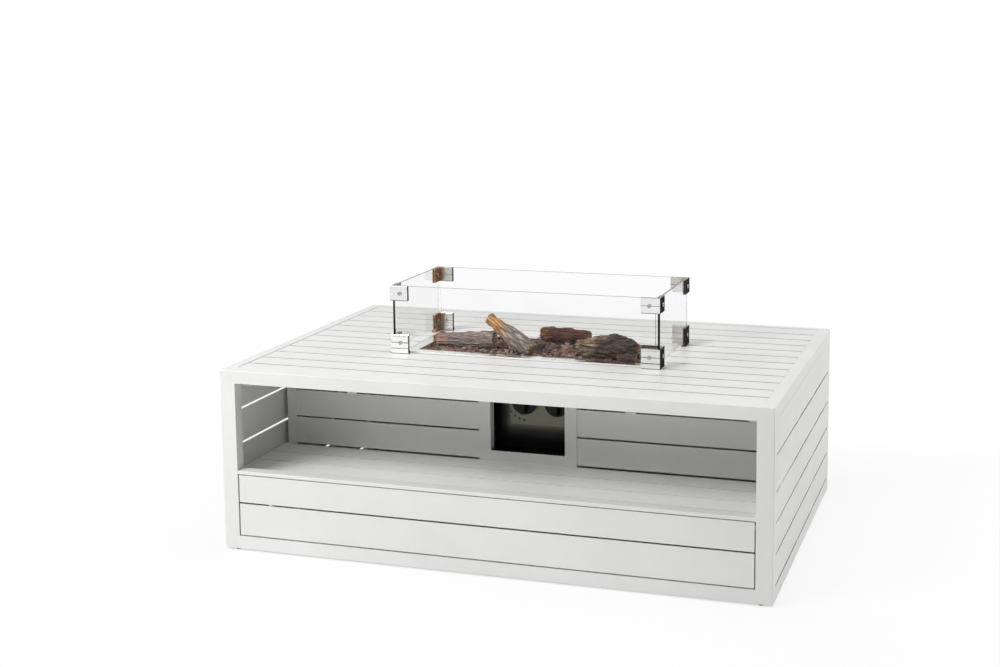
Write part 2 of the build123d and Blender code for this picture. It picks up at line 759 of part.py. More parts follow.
def wind_guard():
    upper_z = (guard_top - upper_clamp_height, guard_top)
    lower_z = (table_height, table_height + lower_clamp_height)
    pane_low = table_height + glass_lift
    upper_bolt = sum(upper_z) / 2
    lower_bolt = table_height + lower_bolt_height
    lower_groove = table_height + lower_groove_height
    corners = [(side, end) for side in (-1, 1) for end in (-1, 1)]
    upper = [clamp(side, end, upper_z, upper_z[0], upper_bolt, upper_bolt) for side, end in corners]
    lower = [clamp(side, end, lower_z, pane_low, lower_bolt, lower_groove) for side, end in corners]
    save("upper_clamps", *upper)
    save("lower_clamps", *lower)

    heights = [upper_bolt, lower_bolt]
    bolt_x = guard_x - bolt_from_corner
    bolt_y = guard_y - bolt_from_corner
    bolts = []
    for side, end in corners:
        for z in heights:
            bolts.append(Pos(side * bolt_x, end * guard_y, z) * Rot(-90 * end, 0, 0) * bolt())
            bolts.append(Pos(side * guard_x, end * bolt_y, z) * Rot(0, 90 * side, 0) * bolt())
    save("clamp_bolts", *bolts)

    end_x = guard_x - corner_block - pane_end_slack
    end_y = guard_y - corner_block - pane_end_slack
    pane_z = (pane_low, guard_top)
    hole = bolt_radius + bolt_clearance
    for end, name in ((-1, "front"), (1, "back")):
        y = mirrored((pane_y - glass, pane_y), end)
        pane = block((-end_x, end_x), y, pane_z)
        for side in (-1, 1):
            for z in heights:
                pane -= rod(side * bolt_x, z, y, hole)
        save("glass_%s" % name, pane)
    for side, name in ((-1, "left"), (1, "right")):
        x = mirrored((pane_x - glass, pane_x), side)
        pane = block(x, (-end_y, end_y), pane_z)
        for end in (-1, 1):
            for z in heights:
                pane -= Pos(sum(x) / 2, end * bolt_y, z) * Rot(0, 90, 0) * Cylinder(hole, 2 * glass)
        save("glass_%s" % name, pane)


os.makedirs("parts", exist_ok=True)
frame()
table_top()
side_panels()
front_panel()
battens()
shelf()
niche()
control_frame()
burner()
logs()
controls()
wind_guard()
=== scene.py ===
# %% [markdown]
# # A fire table, dressed over its CAD frame
# The imported CAD model comes in first. It is the fixed frame: every piece made below is in metres, in the
# same place as the CAD says, and rides on one of its bodies. The box of the bare CAD model is kept, and the
# floor is laid out from it.

# %% Load the frame
import bpy
import json
import math
import random
from mathutils import Matrix, Vector


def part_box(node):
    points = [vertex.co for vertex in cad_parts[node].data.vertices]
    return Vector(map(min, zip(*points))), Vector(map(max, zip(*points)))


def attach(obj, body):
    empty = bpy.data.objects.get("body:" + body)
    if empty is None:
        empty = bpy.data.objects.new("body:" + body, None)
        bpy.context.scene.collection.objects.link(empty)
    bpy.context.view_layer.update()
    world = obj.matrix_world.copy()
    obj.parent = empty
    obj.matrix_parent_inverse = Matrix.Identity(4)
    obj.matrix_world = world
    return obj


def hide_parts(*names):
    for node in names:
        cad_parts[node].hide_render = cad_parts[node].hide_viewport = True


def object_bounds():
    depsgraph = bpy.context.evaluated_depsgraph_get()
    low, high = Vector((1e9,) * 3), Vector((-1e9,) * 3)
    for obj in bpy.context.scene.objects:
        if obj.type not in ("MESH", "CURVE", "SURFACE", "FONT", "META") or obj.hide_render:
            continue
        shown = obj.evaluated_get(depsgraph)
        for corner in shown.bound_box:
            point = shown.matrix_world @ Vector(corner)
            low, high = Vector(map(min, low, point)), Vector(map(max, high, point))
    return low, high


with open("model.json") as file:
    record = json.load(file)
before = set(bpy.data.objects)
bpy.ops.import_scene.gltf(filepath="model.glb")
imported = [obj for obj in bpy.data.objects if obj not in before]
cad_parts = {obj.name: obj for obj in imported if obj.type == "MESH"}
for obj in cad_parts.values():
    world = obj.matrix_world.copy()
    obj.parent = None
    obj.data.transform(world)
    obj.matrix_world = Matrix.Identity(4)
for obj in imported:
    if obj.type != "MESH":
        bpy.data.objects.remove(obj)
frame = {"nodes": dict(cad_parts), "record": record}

scene = bpy.context.scene
nodes = frame["nodes"]
cad_box = [list(corner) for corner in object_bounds()]
MM = 0.001
print("nodes:", len(nodes), "box:", cad_box)

# %% [markdown]
# ## Helpers
# A few small helpers are used all the way down. One turns a colour picked as an sRGB hex value into the
# linear numbers that the shaders want. One adds a shader node with its settings and links. Two more begin
# a material and end it with its main shader, so that each finish below is only about what makes it look
# like itself. The others keep the selection in order, because an operator acts on all that is selected.

# %% Colour and node helpers
def linear(code):
    """The linear colour of an sRGB hex value."""
    channels = [int(code[i:i + 2], 16) / 255 for i in (1, 3, 5)]
    return tuple(c / 12.92 if c <= 0.04045 else ((c + 0.055) / 1.055) ** 2.4 for c in channels) + (1.0,)


def put(tree, kind, settings=None, **inputs):
    """Adds a node. An input, named with _ for a space or numbered as i0, takes a value, output or node."""
    node = tree.nodes.new(kind)
    for name, value in (settings or {}).items():
        setattr(node, name, value)
    sockets = [socket for socket in node.inputs if socket.enabled]
    for name, value in inputs.items():
        named = [socket for socket in sockets if socket.name == name.replace("_", " ")]
        socket = named[0] if named else sockets[int(name[1:])]
        if isinstance(value, bpy.types.Node):
            value = next(output for output in value.outputs if output.enabled)
        if isinstance(value, bpy.types.NodeSocket):
            tree.links.new(value, socket)
        else:
            socket.default_value = value
    return node


# %% Material helpers
# Settings for a Mix node that mixes two colours, and for one that multiplies them.
COLOURS = {"data_type": "RGBA"}
DARKEN = {"data_type": "RGBA", "blend_type": "MULTIPLY"}


def start_finish(name):
    """A new material, its node tree, and the Object coordinates that its patterns read."""
    finish = bpy.data.materials.new(name)
    finish.use_nodes = True
    tree = finish.node_tree
    tree.nodes.clear()
    place = put(tree, "ShaderNodeTexCoord").outputs["Object"]
    return finish, tree, place


def end_finish(finish, **inputs):
    """Gives a material its main shader, with these inputs, and its output."""
    shader = put(finish.node_tree, "ShaderNodeBsdfPrincipled", **inputs)
    put(finish.node_tree, "ShaderNodeOutputMaterial", Surface=shader)
    print("finish:", finish.name)
    return finish


def per_mm(size):
    """A texture scale that gives one cell per this many millimetres."""
    return 1.0 / (size * MM)


# %% Selection helpers
def clear_selection():
    """Leaves edit mode and selects nothing."""
    if bpy.context.object and bpy.context.object.mode != "OBJECT":
        bpy.ops.object.mode_set(mode="OBJECT")
    bpy.ops.object.select_all(action="DESELECT")


def take(piece):
    """Makes a piece the only one selected."""
    clear_selection()
    piece.select_set(True)
    bpy.context.view_layer.objects.active = piece


# %% Modelling helpers
def started(name):
    """Names the piece just made and puts its place into its mesh."""
    piece = bpy.context.object
    piece.name = name
    piece.data.name = name
    bpy.ops.object.transform_apply(location=True, rotation=True, scale=True)
    return piece


def face_outwards():
    """In edit mode, turns every face outwards and goes back to object mode."""
    bpy.ops.mesh.select_all(action="SELECT")
    bpy.ops.mesh.normals_make_consistent(inside=False)
    bpy.ops.object.mode_set(mode="OBJECT")


def joined(pieces, name):
    """One piece made of several."""
    take(pieces[0])
    for piece in pieces:
        piece.select_set(True)
    bpy.ops.object.join()
    return started(name)


def apply_modifiers(piece):
    """Turns what the modifiers show into the piece's own mesh."""
    take(piece)
    for modifier in list(piece.modifiers):
        bpy.ops.object.modifier_apply(modifier=modifier.name)


def dress(piece, finish):
    """Gives a whole piece one finish."""
    piece.data.materials.clear()
    piece.data.materials.append(finish)


clear_selection()
print("helpers ready")

# %% [markdown]
# ## White powder coat
# The table is aluminium tube and plate under white powder coat. The powder melts into a satin skin with a
# faint orange peel about a millimetre across, and sits a touch greyer where it is thin. One flat white
# would look like plastic, so two soft noises carry the peel and the thickness. At this size the peel is
# finer than a pixel, so it is drawn about three times as coarse and kept very shallow. The sides of the
# slats of the top and of the shelf, in their narrow gaps, are painted darker just below their upper faces:
# that is painted shade in the gaps. A mask by height paints them, because a CAD mesh stays as it is. The
# shelf slats also get a lighter copy of the same white, as painted light on the shelf. The same mask makes
# the lower lip of the control opening black, where the paint of the box behind it laps over.

# %% Powder coat
def powder_finish(name, thin, full, band=None, band_tone=None, behind=None):
    """White powder coat; a band between two heights has another tone, all round or behind a given depth."""
    finish, tree, place = start_finish(name)
    peel = put(tree, "ShaderNodeTexNoise", Vector=place, Scale=per_mm(3.0), Detail=3.0)
    cloud = put(tree, "ShaderNodeTexNoise", Vector=place, Scale=per_mm(160), Detail=2.0)
    colour = put(tree, "ShaderNodeValToRGB", Fac=cloud)
    for stop, position, code in zip(colour.color_ramp.elements, (0.3, 0.7), (thin, full)):
        stop.position = position
        stop.color = linear(code)
    if band:
        axes = put(tree, "ShaderNodeSeparateXYZ", Vector=place).outputs
        middle = (band[0] + band[1]) / 2
        half = (band[1] - band[0]) / 2
        within = put(tree, "ShaderNodeMath", {"operation": "COMPARE"}, i0=axes["Z"], i1=middle, i2=half)
        if behind is not None:
            deep = put(tree, "ShaderNodeMath", {"operation": "GREATER_THAN"}, i0=axes["Y"], i1=behind)
            within = put(tree, "ShaderNodeMath", {"operation": "MULTIPLY"}, i0=within, i1=deep)
        colour = put(tree, "ShaderNodeMix", COLOURS, Factor=within, A=colour, B=linear(band_tone))
    relief = put(tree, "ShaderNodeBump", Height=peel, Strength=0.12, Distance=0.2 * MM)
    return end_finish(finish, Base_Color=colour, Roughness=0.38, IOR=1.5, Normal=relief)


# %% Frame, top and shelf
slat_round_mm = 0.3
powder_white = ("#e6e6e4", "#ececea")
# Painted light: the shelf slats get a lighter copy of the same white powder coat, so the shelf reads
# brighter.
lit_shelf_white = ("#f4f4f2", "#fafaf8")


def slat_sides(node):
    """The heights between the lower and the upper edge rounds of a row of slats."""
    low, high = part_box(node)
    return low[2] + slat_round_mm * MM, high[2] - slat_round_mm * MM


powder_coat = powder_finish("powder_coated_aluminium", *powder_white)
# Painted shade: the sides of the top slats, in their gaps, are dark grey.
top_gap_shade_band = slat_sides("top_slats_front")
powder_top = powder_finish("powder_coated_top_slats", *powder_white, top_gap_shade_band, "#6e6e6c")
# Painted shade in the shelf's gaps, a lighter grey than on the top.
shelf_gap_shade_band = slat_sides("shelf_slats")
powder_shelf = powder_finish("powder_coated_shelf_slats", *lit_shelf_white, shelf_gap_shade_band, "#cacac8")

# %% Control frame with its black lip
recess_sheet = 1.5 * MM
opening_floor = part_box("control_recess")[0][2] + recess_sheet
black_lip = (opening_floor - 0.1 * MM, opening_floor + 0.5 * MM)
lip_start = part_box("control_frame")[0][1] + 0.7 * MM
powder_frame = powder_finish("powder_coated_control_frame", *powder_white, black_lip, "#080808", lip_start)

# %% [markdown]
# ## Glass, polished clamps and stainless sheet
# The guard is clear toughened glass. A pane is almost invisible from the front, but its cut edges hold
# the light that comes along the pane, so they read as dark lines at the top and at both ends. Refraction
# alone would need many bounces for that, so a mask by place tints the edges. The burner is stainless
# sheet, softened by the rolling marks that run along it, and the control plate is dull steel, brushed
# along its length. A noise that is stretched far more in X than in Z draws such marks without real
# grooves. The clamps are polished steel, with seams across them. Their faces towards the table's ends
# are painted dark, as a painted dark reflection, and their lower rims carry a painted contact shadow.
# Inside they are beige, and the heat has turned them brown near the fold and at the tips on the left.

# %% Float glass
def glass_finish(name, node, along, clear):
    """Clear glass with dark cut edges at the top and at both ends of a pane that runs along X or Y."""
    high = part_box(node)[1]
    cut = 0.1 * MM
    finish, tree, place = start_finish(name)
    axes = put(tree, "ShaderNodeSeparateXYZ", Vector=place).outputs
    haze = put(tree, "ShaderNodeTexNoise", Vector=place, Scale=per_mm(40), Detail=2.0)
    film = put(tree, "ShaderNodeMapRange", Value=haze, From_Min=0.4, From_Max=0.8, To_Min=0.0, To_Max=0.02)
    reach = put(tree, "ShaderNodeMath", {"operation": "ABSOLUTE"}, i0=axes[along])
    pane_end = high["XY".index(along)] - cut
    end = put(tree, "ShaderNodeMath", {"operation": "GREATER_THAN"}, i0=reach, i1=pane_end)
    top = put(tree, "ShaderNodeMath", {"operation": "GREATER_THAN"}, i0=axes["Z"], i1=high[2] - cut)
    edge = put(tree, "ShaderNodeMath", {"operation": "MAXIMUM"}, i0=end, i1=top)
    tint = put(tree, "ShaderNodeMix", COLOURS, Factor=edge, A=linear(clear), B=linear("#2b2e2d"))
    return end_finish(finish, Base_Color=tint, Roughness=film, IOR=1.5, Specular_Tint=linear("#898989"),
                      Transmission_Weight=1.0)


long_pane = glass_finish("clear_float_glass_long", "glass_front", "X", "#fcfcfc")
short_pane = glass_finish("clear_float_glass_short", "glass_right", "Y", "#f6f7f6")


# %% Rolled, brushed and turned metal
def steel_finish(name, colour, darker, roughness, marks):
    """Metal with marks: a stretch per axis in millimetres, coarser than the real ones so that they show."""
    finish, tree, place = start_finish(name)
    stretch = put(tree, "ShaderNodeMapping", Vector=place, Scale=[per_mm(size) for size in marks])
    grain = put(tree, "ShaderNodeTexNoise", Vector=stretch, Scale=1.0, Detail=4.0)
    tint = put(tree, "ShaderNodeMix", COLOURS, Factor=grain, A=linear(darker), B=linear(colour))
    polish = put(tree, "ShaderNodeMapRange", Value=grain, To_Min=roughness * 0.7, To_Max=roughness * 1.3)
    relief = put(tree, "ShaderNodeBump", Height=grain, Strength=0.04, Distance=0.1 * MM)
    return end_finish(finish, Base_Color=tint, Metallic=1.0, Roughness=polish, Normal=relief)


stainless_sheet = steel_finish("bright_stainless_sheet", "#e4e4e2", "#d2d2d0", 0.16, (60, 1.5, 1.5))
brushed_plate = steel_finish("brushed_stainless_plate", "#7d7c70", "#68675d", 0.5, (40, 1.0, 0.8))
turned_steel = steel_finish("turned_steel", "#c4c4c4", "#a8a8a8", 0.25, (1, 1, 6))
turned_brass = steel_finish("turned_brass", "#c8a04e", "#a47c34", 0.28, (2, 2, 6))
socket_steel = steel_finish("bolt_steel", "#bcbcba", "#949492", 0.3, (2, 2, 2))

# %% Places on the clamps
clamp_end, clamp_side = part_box("upper_clamps")[1].xy
clamp_leg = 42 * MM
clamp_depth = 10 * MM
clamp_skin = 0.2 * MM
clamp_fold = clamp_end - clamp_depth
brown_from, brown_to = clamp_fold - 14 * MM, clamp_fold - 2 * MM
seams_above_foot_mm = {"lower_clamps": (12.5, 25), "upper_clamps": (16.75,)}
seam_half = 0.5 * MM
# The lower rim of each row of clamps gets a painted contact shadow, in the same grey as a seam.
rim_middle, rim_half = 0.6 * MM, 0.8 * MM
clamp_lines = []
for clamps, heights in seams_above_foot_mm.items():
    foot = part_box(clamps)[0].z
    clamp_lines.append((foot + rim_middle, rim_half))
    clamp_lines += [(foot + height * MM, seam_half) for height in heights]
print("clamp seams and rims:", len(clamp_lines))


# %% Masks for those places
def clamp_masks(tree, place):
    """Masks that are 1 on one part of every clamp and 0 off it; the clamps lie alike about both middles."""
    axes = put(tree, "ShaderNodeSeparateXYZ", Vector=place).outputs
    along = put(tree, "ShaderNodeMath", {"operation": "ABSOLUTE"}, i0=axes["X"])
    across = put(tree, "ShaderNodeMath", {"operation": "ABSOLUTE"}, i0=axes["Y"])
    limits = {
        "left": (axes["X"], "LESS_THAN", 0.0),
        "inside_end": (along, "LESS_THAN", clamp_fold + clamp_skin),
        "inside_side": (across, "LESS_THAN", clamp_side - clamp_depth + clamp_skin),
        "long_tip": (along, "LESS_THAN", clamp_end - clamp_leg + clamp_skin),
        "short_tip": (across, "LESS_THAN", clamp_side - clamp_leg + clamp_skin),
        # The faces towards the table's ends, which get the painted dark reflection.
        "end": (along, "GREATER_THAN", clamp_end - clamp_skin),
    }
    masks = {}
    for name, (distance, test, limit) in limits.items():
        masks[name] = put(tree, "ShaderNodeMath", {"operation": test}, i0=distance, i1=limit)
    masks["inner"] = put(tree, "ShaderNodeMath", {"operation": "MULTIPLY"}, i0=masks["inside_end"],
                         i1=masks["inside_side"])
    masks["seam"] = 0.0
    # Seams, and the painted contact shadows at the lower rims, in one mask.
    for height, half in clamp_lines:
        line = put(tree, "ShaderNodeMath", {"operation": "COMPARE"}, i0=axes["Z"], i1=height, i2=half)
        masks["seam"] = put(tree, "ShaderNodeMath", {"operation": "MAXIMUM"}, i0=line, i1=masks["seam"])
    masks["near_fold"] = put(tree, "ShaderNodeMapRange", Value=along, From_Min=brown_from,
                             From_Max=brown_to)
    return masks


# %% Polished clamps
def clamp_finish(name):
    """Polished front and back, a painted dark reflection at the ends, beige inside with heat tints, seams.
    """
    finish, tree, place = start_finish(name)
    masks = clamp_masks(tree, place)
    buffing = put(tree, "ShaderNodeTexNoise", Vector=place, Scale=per_mm(5), Detail=4.0)
    patch = put(tree, "ShaderNodeTexNoise", Vector=place, Scale=per_mm(26), Detail=3.0)
    blotch = put(tree, "ShaderNodeMapRange", Value=patch, From_Min=0.3, From_Max=0.6, To_Min=0.35)
    heat = put(tree, "ShaderNodeMath", {"operation": "MULTIPLY"}, i0=masks["near_fold"], i1=blotch)
    ranges = {
        "bright": (buffing, "#dedede", "#f2f2f2"),
        "straw": (heat, "#c6c3bb", "#b08058"),
        "brown": (patch, "#8c6a50", "#c99262"),
        # A painted dark reflection for the faces towards the table's ends.
        "dark": (buffing, "#222324", "#343536"),
    }
    tones = {}
    for tone, (pattern, low, high) in ranges.items():
        tones[tone] = put(tree, "ShaderNodeMix", COLOURS, Factor=pattern, A=linear(low), B=linear(high))
    burnt = put(tree, "ShaderNodeMix", COLOURS, Factor=masks["left"], A=linear("#4a4846"), B=tones["brown"])
    # The painted dark reflection goes on the end faces; the seam grey also paints contact shadows at the
    # rims.
    layers = {"inner": tones["straw"], "short_tip": burnt, "long_tip": linear("#3c3d3e"),
              "end": tones["dark"], "seam": linear("#5e5e5e")}
    colour = tones["bright"]
    for mask, tone in layers.items():
        colour = put(tree, "ShaderNodeMix", COLOURS, Factor=masks[mask], A=colour, B=tone)
    dull = put(tree, "ShaderNodeMath", {"operation": "MAXIMUM"}, i0=masks["inner"], i1=masks["end"])
    polish = put(tree, "ShaderNodeMapRange", Value=dull, To_Min=0.06, To_Max=0.28)
    return end_finish(finish, Base_Color=colour, Metallic=1.0, Roughness=polish,
                      Specular_Tint=linear("#a0a0a0"))


polished_steel = clamp_finish("mirror_polished_steel")

# %% [markdown]
# ## Black paint, moulded plastic and ceramic
# The box behind the control opening is painted with dull heat-proof black, which has a dry, slightly
# grainy surface. Below the control plate and to its left the black is painted grey, as a painted sheen
# from the plate. The knobs are moulded in black phenolic plastic with a soft gloss. The feet are grey
# nylon, and the igniter and electrode are plain moulded plastic and unglazed ceramic. Nearly all of them
# share one recipe: a base colour that wanders a little, a roughness that wanders with it, and a grain of
# a known size.

# %% Paint, plastic and ceramic
def moulded_finish(name, colour, lighter, roughness, grain_mm, depth, shine=0.5):
    """A painted or moulded surface with a grain of a given size, as deep and as shiny as given."""
    finish, tree, place = start_finish(name)
    grain = put(tree, "ShaderNodeTexNoise", Vector=place, Scale=per_mm(grain_mm), Detail=4.0)
    tint = put(tree, "ShaderNodeMix", COLOURS, Factor=grain, A=linear(colour), B=linear(lighter))
    sheen = put(tree, "ShaderNodeMapRange", Value=grain, To_Min=roughness * 0.8, To_Max=roughness * 1.2)
    relief = put(tree, "ShaderNodeBump", Height=grain, Strength=depth, Distance=0.2 * MM)
    return end_finish(finish, Base_Color=tint, Roughness=sheen, Specular_IOR_Level=shine, Normal=relief)


heat_paint = moulded_finish("matte_heat_paint", "#060606", "#0c0c0c", 0.75, 1.2, 0.25, 0.1)
phenolic = moulded_finish("black_phenolic_moulding", "#060607", "#0c0c0d", 0.25, 2.0, 0.03, 0.2)
dull_plastic = moulded_finish("black_moulded_plastic", "#101010", "#1a1a1a", 0.5, 1.5, 0.1)
nylon = moulded_finish("grey_moulded_nylon", "#8c8c8c", "#9a9a9a", 0.5, 1.5, 0.1)
bisque = moulded_finish("unglazed_ceramic", "#d8d2c4", "#e6e0d2", 0.7, 1.0, 0.2)
dial_ink = moulded_finish("screen_print_ink", "#141414", "#1c1c1c", 0.6, 0.8, 0.05)
pointer_paint = moulded_finish("white_filled_mark", "#d8d8d4", "#e4e4e0", 0.5, 0.8, 0.05)


# %% Painted sheen round the control plate
def recess_finish(name):
    """Black heat paint, with a painted grey sheen on the back wall below the control plate and to its left.
    """
    left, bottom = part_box("control_plate")[0].xz
    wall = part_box("control_recess")[1].y
    finish, tree, place = start_finish(name)
    axes = put(tree, "ShaderNodeSeparateXYZ", Vector=place).outputs
    grain = put(tree, "ShaderNodeTexNoise", Vector=place, Scale=per_mm(1.2), Detail=4.0)
    fades = (("Z", bottom - 30 * MM, bottom + 4 * MM), ("X", left - 20 * MM, left + 4 * MM),
             ("Y", wall - 8 * MM, wall - 2 * MM))
    sheen_share = 1.0
    for axis, bare, full in fades:
        fade = put(tree, "ShaderNodeMapRange", Value=axes[axis], From_Min=bare, From_Max=full)
        sheen_share = put(tree, "ShaderNodeMath", {"operation": "MULTIPLY"}, i0=sheen_share, i1=fade)
    # Painted sheen from the plate: grey close below it and to its left, fading to black away from it.
    sheen_ramp = put(tree, "ShaderNodeValToRGB", Fac=sheen_share)
    sheen_ramp.color_ramp.elements[0].color = linear("#080808")
    sheen_ramp.color_ramp.elements[1].color = linear("#8d8c82")
    for position, code in ((0.25, "#2a2a28"), (0.6, "#474743"), (0.8, "#68675f")):
        sheen_ramp.color_ramp.elements.new(position).color = linear(code)
    speckle = put(tree, "ShaderNodeMapRange", Value=grain, From_Min=0.3, From_Max=0.7, To_Min=0.8)
    colour = put(tree, "ShaderNodeMix", COLOURS, Factor=speckle, A=linear("#040404"), B=sheen_ramp)
    relief = put(tree, "ShaderNodeBump", Height=grain, Strength=0.25, Distance=0.2 * MM)
    return end_finish(finish, Base_Color=colour, Roughness=0.75, Specular_IOR_Level=0.1, Normal=relief)


recess_paint = recess_finish("heat_paint_with_painted_sheen")

# %% [markdown]
# ## Lava and bark
# Lava chips are burnt, porous stone: charcoal, rust and ash grey from chip to chip, with pits a few
# millimetres apart that are painted darker, as painted shade in them. The logs are cast ceramic, painted as
# bark: long ridges along the log, dark in the furrows and lighter on the ridges, with a warmer wash from
# one end and pale cut ends. On the leaning and back logs that wash is painted firelight, and the left and
# leaning logs are painted lighter all over for the same firelight. The ridges have to run along each log.
# Unwrapping a log would line them up too, but it leaves a seam, so each log gets its own copy of the
# finish, turned to the log's axis by a Mapping node.

# %% Lava stone
lava_stone, tree, place = start_finish("burnt_lava_stone")
lumps = put(tree, "ShaderNodeTexVoronoi", Vector=place, Scale=per_mm(13))
choice = put(tree, "ShaderNodeSeparateColor", Color=lumps.outputs["Color"])
rust = put(tree, "ShaderNodeValToRGB", Fac=choice)
rust.color_ramp.elements[0].color = linear("#332e2b")
rust.color_ramp.elements[1].color = linear("#938984")
for position, code in ((0.3, "#524640"), (0.55, "#7d5a4d"), (0.8, "#9c7464")):
    rust.color_ramp.elements.new(position).color = linear(code)
# Painted shade in the pits: the colour is darker at each pit and a little lighter between pits.
pits = put(tree, "ShaderNodeTexVoronoi", Vector=place, Scale=per_mm(2.6))
shade = put(tree, "ShaderNodeMapRange", Value=pits, From_Max=0.6, To_Min=0.4, To_Max=1.1)
colour = put(tree, "ShaderNodeMix", DARKEN, Factor=1.0, A=rust, B=shade)
relief = put(tree, "ShaderNodeBump", Height=pits, Strength=0.8, Distance=1.2 * MM)
end_finish(lava_stone, Base_Color=colour, Roughness=0.9, Normal=relief)


# %% Bark, turned to a log's axis
def bark_finish(name, start, axis, furrow, ridge, warm_wash_and_firelight, wash_and_firelight_share, width_mm, crack_tone):
    """Bark, furrows of a given width, pale cut ends; a wash from the first end is painted firelight on some
    logs.
    """
    finish, tree, place = start_finish(name)
    length = axis.length
    turn = axis.rotation_difference(Vector((1, 0, 0)))
    along = put(tree, "ShaderNodeMapping", Vector=place, Rotation=turn.to_euler(), Location=-(turn @ start))
    axes = put(tree, "ShaderNodeSeparateXYZ", Vector=along).outputs
    furrow_scale = [per_mm(7 * width_mm), per_mm(width_mm), per_mm(width_mm)]
    stretch = put(tree, "ShaderNodeMapping", Vector=along, Scale=furrow_scale)
    fibre = put(tree, "ShaderNodeTexNoise", Vector=stretch, Scale=1.0, Detail=7.0, Roughness=0.7,
                Distortion=0.8)
    crack = put(tree, "ShaderNodeTexVoronoi", {"feature": "DISTANCE_TO_EDGE"}, Vector=stretch, Scale=0.55)
    lines = put(tree, "ShaderNodeMapRange", Value=crack, From_Max=0.26, To_Min=crack_tone, To_Max=1.0)
    colour = put(tree, "ShaderNodeValToRGB", Fac=fibre)
    for stop, position, code in zip(colour.color_ramp.elements, (0.38, 0.62), (furrow, ridge)):
        stop.position = position
        stop.color = linear(code)

    # The wash is painted firelight on the leaning and back logs, and a warmer paint on the others.
    rag, fade = 0.7 * length, 0.1 * length
    limit = wash_and_firelight_share * length + rag / 2
    broad = put(tree, "ShaderNodeTexNoise", Vector=place, Scale=per_mm(30), Detail=4.0)
    ragged = put(tree, "ShaderNodeMath", {"operation": "MULTIPLY_ADD"}, i0=broad, i1=rag, i2=axes["X"])
    wash_and_firelight_mask = put(tree, "ShaderNodeMapRange", Value=ragged, From_Min=limit - fade, From_Max=limit + fade,
                 To_Min=0.8, To_Max=0.0)
    off_middle = put(tree, "ShaderNodeMath", {"operation": "SUBTRACT"}, i0=axes["X"], i1=length / 2)
    off_middle = put(tree, "ShaderNodeMath", {"operation": "ABSOLUTE"}, i0=off_middle)
    cut_end = put(tree, "ShaderNodeMapRange", Value=off_middle, From_Min=0.475 * length,
                  From_Max=0.495 * length, To_Max=0.85)
    for share, tone in ((wash_and_firelight_mask, warm_wash_and_firelight), (cut_end, "#c39a70")):
        colour = put(tree, "ShaderNodeMix", COLOURS, Factor=share, A=colour, B=linear(tone))
    colour = put(tree, "ShaderNodeMix", DARKEN, Factor=1.0, A=colour, B=lines)
    height = put(tree, "ShaderNodeMath", {"operation": "MULTIPLY"}, i0=fibre, i1=lines)
    relief = put(tree, "ShaderNodeBump", Height=height, Strength=1.0, Distance=2.5 * MM)
    return end_finish(finish, Base_Color=colour, Roughness=0.85, Normal=relief)


# %% [markdown]
# ## Finishes for the CAD pieces
# The frame, slats, panes, clamps and burner are right as solids, so they stay and only get their finish.
# The slats and plates are sharp-edged in CAD. A real plate has a small round at each edge that catches
# the light. Fillets in CAD would give it at the cost of many faces, so a Weld and a Bevel modifier round
# these pieces here, by under a millimetre. The welded frame has its rounds in CAD.

# %% Dress the CAD nodes
top_slats = ("top_slats_front", "top_slats_back", "top_slats_left", "top_slats_right")
slot_finish = {
    "clear_glass": long_pane, "polished_clamp": polished_steel, "stainless_burner": stainless_sheet,
    "brushed_plate": brushed_plate, "black_housing": heat_paint, "bright_steel": turned_steel,
    "black_knob": phenolic, "brass": turned_brass, "black_plastic": dull_plastic, "white_ceramic": bisque,
    "lava_stone": lava_stone, "ceramic_log": lava_stone, "grey_glide": nylon,
    "white_powder_coat": powder_coat,
}
own_finish = {
    "glass_left": short_pane, "glass_right": short_pane, "clamp_bolts": socket_steel,
    "shelf_slats": powder_shelf, "control_frame": powder_frame, "control_recess": recess_paint,
}
own_finish.update({name: powder_top for name in top_slats})
slots = {row["node"]: row["material_slot"] for row in frame["record"]["subparts"]}
for name, node in nodes.items():
    for material_slot in node.material_slots:
        material_slot.material = own_finish.get(name, slot_finish[slots[name]])
    node.visible_shadow = node.visible_diffuse = slots[name] != "clear_glass"
print("dressed", len(nodes), "nodes")

# %% Round the edges of the plates
edge_rounds_mm = {
    "left_slats": 0.5, "right_slats": 0.5, "back_slats": 0.5, "front_slats": 0.5, "niche_slats": 0.5,
    "shelf_slats": slat_round_mm, "shelf_lip": 0.8, "control_frame": 0.6, "control_recess": 0.3,
    "control_plate": 0.3, "burner_tray": 0.4, "upper_clamps": 0.5, "lower_clamps": 0.5, "clamp_bolts": 0.25,
    "feet": 0.6,
}
edge_rounds_mm.update({name: slat_round_mm for name in top_slats})
for name, size in edge_rounds_mm.items():
    weld = nodes[name].modifiers.new("join_corners", "WELD")
    weld.merge_threshold = 0.01 * MM
    edge = nodes[name].modifiers.new("round_edges", "BEVEL")
    edge.width = size * MM
    edge.segments = 2
    edge.limit_method = "ANGLE"
    edge.angle_limit = math.radians(35)
print("rounded", len(edge_rounds_mm), "nodes")

# %% [markdown]
# ## Ceramic logs
# Sculpting would make a log, but not the same one in every run, so each log is built from a few numbers.
# It starts as a disc, square to its own axis, that is extruded ring by ring to the other end. A ring is
# scaled and pushed aside a little as it goes, and lifted where the log arches, so that the log swells and
# wanders like wood. A subdivision rounds it. Three displacements then raise its lumps, the ridges along
# it and the plates of its bark; an empty, stretched along the log's axis, draws out the last two.

# %% A log's body, ring by ring
ring_shares = [0.02] + [0.08 + 0.084 * ring for ring in range(11)] + [0.98, 1.0]
swell = (0.92, 1.04)
wander = 0.06


